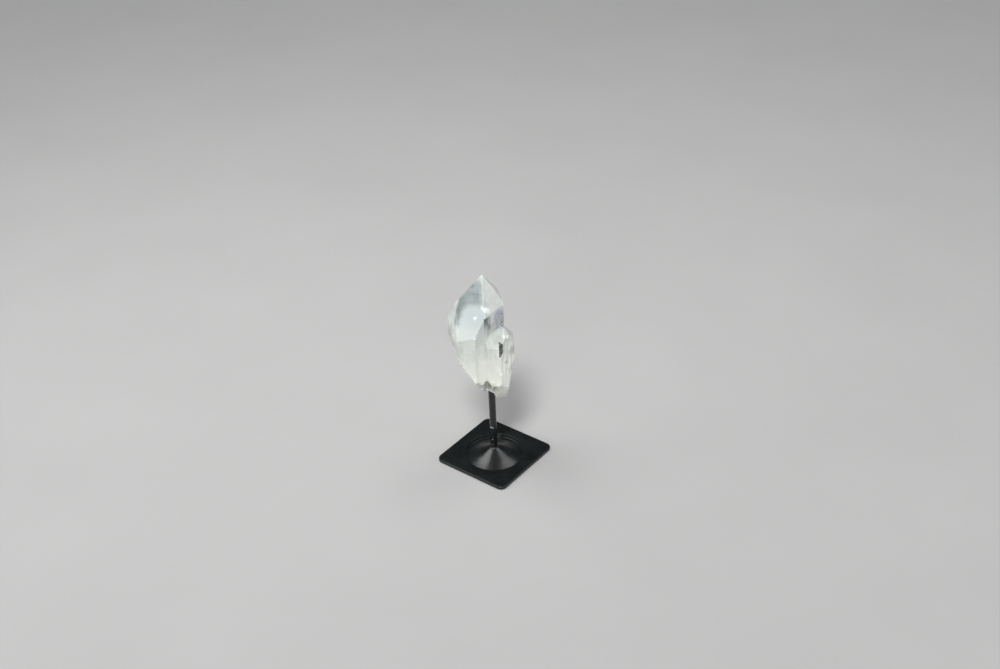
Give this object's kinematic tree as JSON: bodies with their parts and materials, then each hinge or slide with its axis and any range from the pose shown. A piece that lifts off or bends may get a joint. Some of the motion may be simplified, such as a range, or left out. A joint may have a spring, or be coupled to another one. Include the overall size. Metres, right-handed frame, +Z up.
{
  "type": "quartz crystal on a display stand",
  "caption": "Milky quartz crystal with a pyramid point and a smaller crystal grown on its side, standing on a thin black post and square plate.",
  "frame": {"origin": "middle of the flat underside of the base plate", "axes": "+Z up along the post; X and Y square to the plate's sides"},
  "size_m": [0.06, 0.06, 0.1461],
  "materials": {
    "quartz": "naturally smooth and glossy, milky with clear zones",
    "black_paint": "glossy black paint"
  },
  "bodies": {
    "root": {"crystal": "quartz", "post": "black_paint", "base_plate": "black_paint"}
  },
  "joints": []
}
